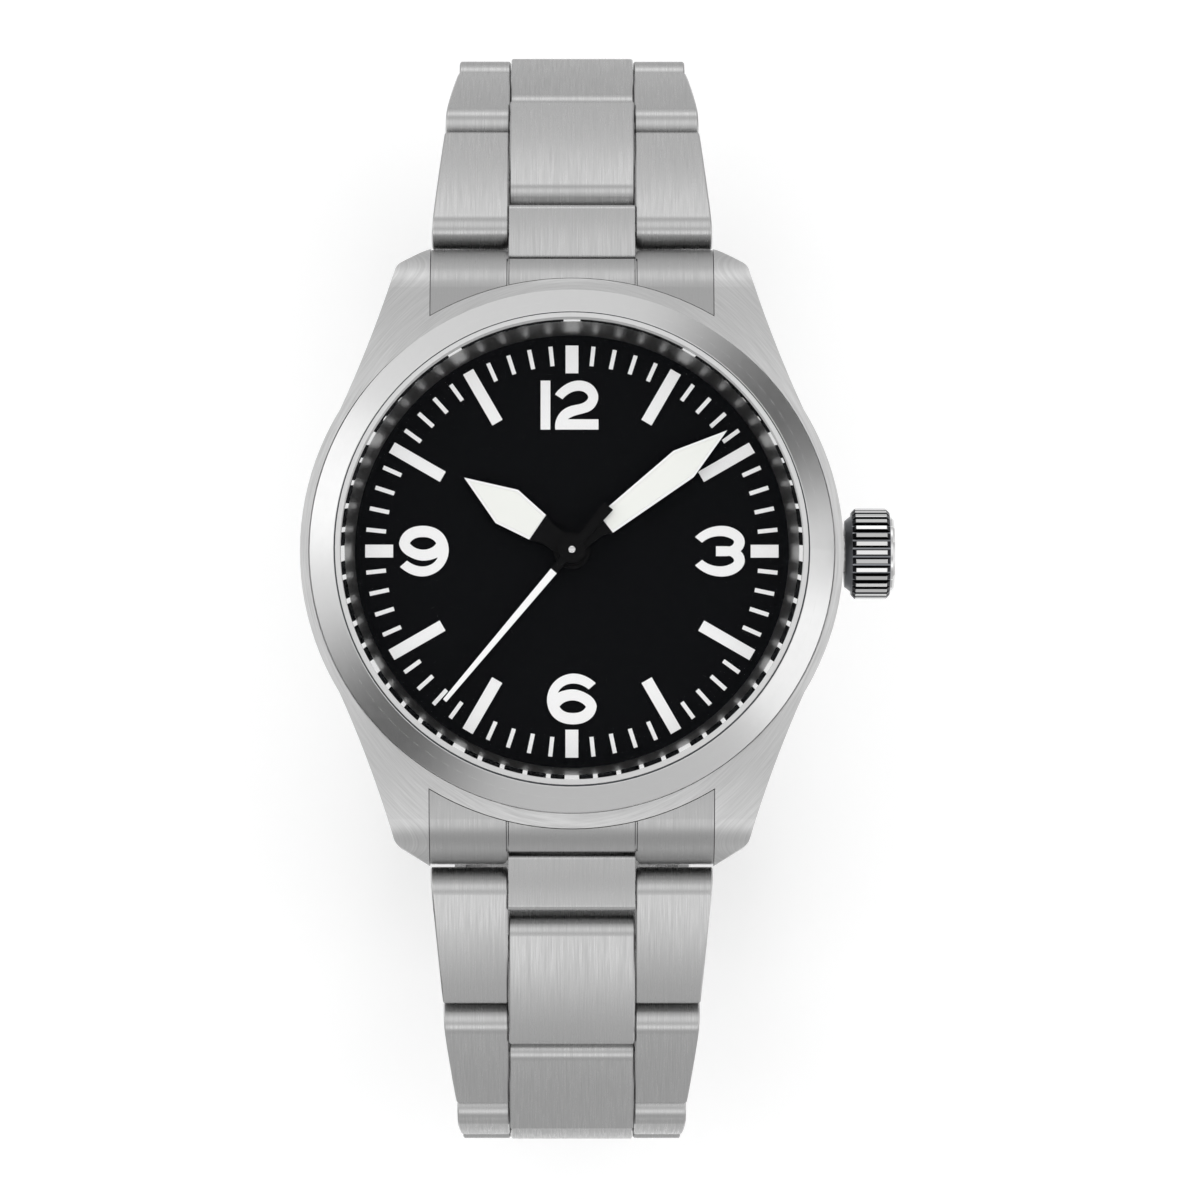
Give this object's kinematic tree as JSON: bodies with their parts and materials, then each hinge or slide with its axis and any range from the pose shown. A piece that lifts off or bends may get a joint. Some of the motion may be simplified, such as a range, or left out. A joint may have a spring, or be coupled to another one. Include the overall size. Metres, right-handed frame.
{
  "type": "wristwatch",
  "caption": "Self-winding field wristwatch with a black dial on a three-row steel link bracelet, closed as on a wrist, with a folding clasp that opens.",
  "frame": {"origin": "middle of the flat outer face of the case back", "axes": "+Z out through the glass, +Y towards twelve o'clock, +X towards the crown at three o'clock"},
  "size_m": [0.0416, 0.0793, 0.056],
  "materials": {
    "brushed_steel": "satin brushed",
    "polished_steel": "polished",
    "plain_steel": "satin",
    "spring_steel": "satin",
    "sapphire": "clear",
    "clear_seal": "smooth",
    "black_rubber": "matte",
    "dial_black": "matte",
    "white_marking": "matte",
    "white_hands": "satin",
    "luminous_paste": "matte",
    "movement_plastic": "matte",
    "plated_brass": "satin",
    "gilt_brass": "satin",
    "rotor_metal": "satin"
  },
  "bodies": {
    "case": {"case_middle": "brushed_steel", "bezel": "polished_steel", "crystal": "sapphire", "crystal_gasket": "clear_seal", "inner_flange": "polished_steel", "dial": "dial_black", "dial_markings": "white_marking", "case_back": "brushed_steel", "case_back_gasket": "black_rubber", "crown_tube": "plain_steel", "movement_ring": "movement_plastic", "main_plate": "plated_brass", "train_bridge": "plated_brass", "lug_spring_bars": "plain_steel", "end_link_12": "brushed_steel", "end_link_6": "brushed_steel"},
    "minute_train": {"minute_hand": "white_hands", "minute_hand_lume": "luminous_paste", "centre_wheel": "gilt_brass"},
    "hour_train": {"hour_hand": "white_hands", "hour_hand_lume": "luminous_paste", "hour_wheel": "gilt_brass"},
    "seconds_train": {"seconds_hand": "white_hands", "seconds_wheel": "gilt_brass"},
    "barrel": {"mainspring_barrel": "gilt_brass"},
    "balance": {"balance_wheel": "gilt_brass"},
    "rotor": {"winding_rotor": "rotor_metal"},
    "crown_slider": {"crown_gasket": "black_rubber"},
    "crown_and_stem": {"crown": "polished_steel", "winding_stem": "plain_steel"},
    "hinge_link_12": {"hinge_link_12": "brushed_steel"},
    "hinge_link_6": {"hinge_link_6": "brushed_steel"},
    "cover": {"clasp_cover": "brushed_steel", "clasp_button_spring": "spring_steel"},
    "outer_blade": {"clasp_outer_blade": "plain_steel"},
    "inner_blade": {"clasp_inner_blade": "plain_steel"},
    "button_left": {"clasp_button_left": "polished_steel"},
    "button_right": {"clasp_button_right": "polished_steel"},
    "link_12_1": {"link_12_1_outers": "brushed_steel", "link_12_1_centre": "brushed_steel"},
    "link_12_2": {"link_12_2_outers": "brushed_steel", "link_12_2_centre": "brushed_steel"},
    "link_12_3": {"link_12_3_outers": "brushed_steel", "link_12_3_centre": "brushed_steel"},
    "link_12_4": {"link_12_4_outers": "brushed_steel", "link_12_4_centre": "brushed_steel"},
    "link_12_5": {"link_12_5_outers": "brushed_steel", "link_12_5_centre": "brushed_steel"},
    "link_12_6": {"link_12_6_outers": "brushed_steel", "link_12_6_centre": "brushed_steel"},
    "link_6_1": {"link_6_1_outers": "brushed_steel", "link_6_1_centre": "brushed_steel"},
    "link_6_2": {"link_6_2_outers": "brushed_steel", "link_6_2_centre": "brushed_steel"},
    "link_6_3": {"link_6_3_outers": "brushed_steel", "link_6_3_centre": "brushed_steel"},
    "link_6_4": {"link_6_4_outers": "brushed_steel", "link_6_4_centre": "brushed_steel"},
    "link_6_5": {"link_6_5_outers": "brushed_steel", "link_6_5_centre": "brushed_steel"}
  },
  "joints": [
    {"name": "minute_hand_turn", "type": "hinge", "parent": "case", "child": "minute_train", "pos_m": [0, 0, 0.0086], "axis": [0, 0, -1], "continuous": true},
    {"name": "hour_hand_turn", "type": "hinge", "parent": "case", "child": "hour_train", "pos_m": [0, 0, 0.00815], "axis": [0, 0, -1], "continuous": true},
    {"name": "seconds_hand_turn", "type": "hinge", "parent": "case", "child": "seconds_train", "pos_m": [0, 0, 0.009], "axis": [0, 0, -1], "continuous": true},
    {"name": "barrel_turn", "type": "hinge", "parent": "case", "child": "barrel", "pos_m": [-0.00595, 0, 0.0045], "axis": [0, 0, -1], "continuous": true},
    {"name": "rotor_turn", "type": "hinge", "parent": "case", "child": "rotor", "pos_m": [0, 0, 0.002], "axis": [0, 0, 1], "continuous": true},
    {"name": "balance_swing", "type": "hinge", "parent": "case", "child": "balance", "pos_m": [0.0044, -0.00704, 0.0038], "axis": [0, 0, 1], "range_deg": [-270, 270]},
    {"name": "crown_pull", "type": "slide", "parent": "case", "child": "crown_slider", "axis": [1, 0, 0], "range_m": [0, 0.001]},
    {"name": "crown_turn", "type": "hinge", "parent": "crown_slider", "child": "crown_and_stem", "pos_m": [0.02, 0, 0.0052], "axis": [1, 0, 0], "continuous": true},
    {"name": "hinge_link_12_turn", "type": "hinge", "parent": "case", "child": "hinge_link_12", "pos_m": [0, 0.02025, 0.0025], "axis": [1, 0, 0], "range_deg": [0, 15]},
    {"name": "link_12_1_turn", "type": "hinge", "parent": "hinge_link_12", "child": "link_12_1", "pos_m": [0, 0.02334, 0.00208], "axis": [1, 0, 0], "range_deg": [0, 25]},
    {"name": "link_12_2_turn", "type": "hinge", "parent": "link_12_1", "child": "link_12_2", "pos_m": [0, 0.03145, -0.00394], "axis": [1, 0, 0], "range_deg": [0, 25]},
    {"name": "link_12_3_turn", "type": "hinge", "parent": "link_12_2", "child": "link_12_3", "pos_m": [0, 0.03607, -0.01292], "axis": [1, 0, 0], "range_deg": [0, 25]},
    {"name": "link_12_4_turn", "type": "hinge", "parent": "link_12_3", "child": "link_12_4", "pos_m": [0, 0.0358, -0.02302], "axis": [1, 0, 0], "range_deg": [0, 25]},
    {"name": "link_12_5_turn", "type": "hinge", "parent": "link_12_4", "child": "link_12_5", "pos_m": [0, 0.03075, -0.03177], "axis": [1, 0, 0], "range_deg": [0, 25]},
    {"name": "link_12_6_turn", "type": "hinge", "parent": "link_12_5", "child": "link_12_6", "pos_m": [0, 0.02238, -0.03741], "axis": [1, 0, 0], "range_deg": [0, 25]},
    {"name": "hinge_link_6_turn", "type": "hinge", "parent": "case", "child": "hinge_link_6", "pos_m": [0, -0.02025, 0.0025], "axis": [-1, 0, 0], "range_deg": [0, 15]},
    {"name": "link_6_1_turn", "type": "hinge", "parent": "hinge_link_6", "child": "link_6_1", "pos_m": [0, -0.02332, 0.00194], "axis": [-1, 0, 0], "range_deg": [0, 25]},
    {"name": "link_6_2_turn", "type": "hinge", "parent": "link_6_1", "child": "link_6_2", "pos_m": [0, -0.03249, -0.00229], "axis": [-1, 0, 0], "range_deg": [0, 25]},
    {"name": "link_6_3_turn", "type": "hinge", "parent": "link_6_2", "child": "link_6_3", "pos_m": [0, -0.0385, -0.01041], "axis": [-1, 0, 0], "range_deg": [0, 25]},
    {"name": "link_6_4_turn", "type": "hinge", "parent": "link_6_3", "child": "link_6_4", "pos_m": [0, -0.03964, -0.02045], "axis": [-1, 0, 0], "range_deg": [0, 25]},
    {"name": "link_6_5_turn", "type": "hinge", "parent": "link_6_4", "child": "link_6_5", "pos_m": [0, -0.03553, -0.02968], "axis": [-1, 0, 0], "range_deg": [0, 25]},
    {"name": "cover_turn", "type": "hinge", "parent": "link_12_6", "child": "cover", "pos_m": [0, 0.01262, -0.04003], "axis": [1, 0, 0], "range_deg": [0, 30]},
    {"name": "outer_blade_open", "type": "hinge", "parent": "cover", "child": "outer_blade", "pos_m": [0, -0.02391, -0.03801], "axis": [1, 0, 0], "range_deg": [0, 60]},
    {"name": "inner_blade_open", "type": "hinge", "parent": "outer_blade", "child": "inner_blade", "pos_m": [0, 0.00922, -0.04036], "axis": [-1, 0, 0], "range_deg": [0, 90]},
    {"name": "button_left_press", "type": "slide", "parent": "cover", "child": "button_left", "axis": [1, 0, 0], "range_m": [0, 0.0005], "stiffness_N_per_m": 400, "springref_m": -0.0005},
    {"name": "button_right_press", "type": "slide", "parent": "cover", "child": "button_right", "axis": [-1, 0, 0], "range_m": [0, 0.0005], "stiffness_N_per_m": 400, "springref_m": -0.0005}
  ],
  "couplings": [
    {"joint": "hour_hand_turn", "follows": "minute_hand_turn", "ratio": 0.083333},
    {"joint": "seconds_hand_turn", "follows": "minute_hand_turn", "ratio": 60},
    {"joint": "barrel_turn", "follows": "minute_hand_turn", "ratio": -0.16667}
  ]
}
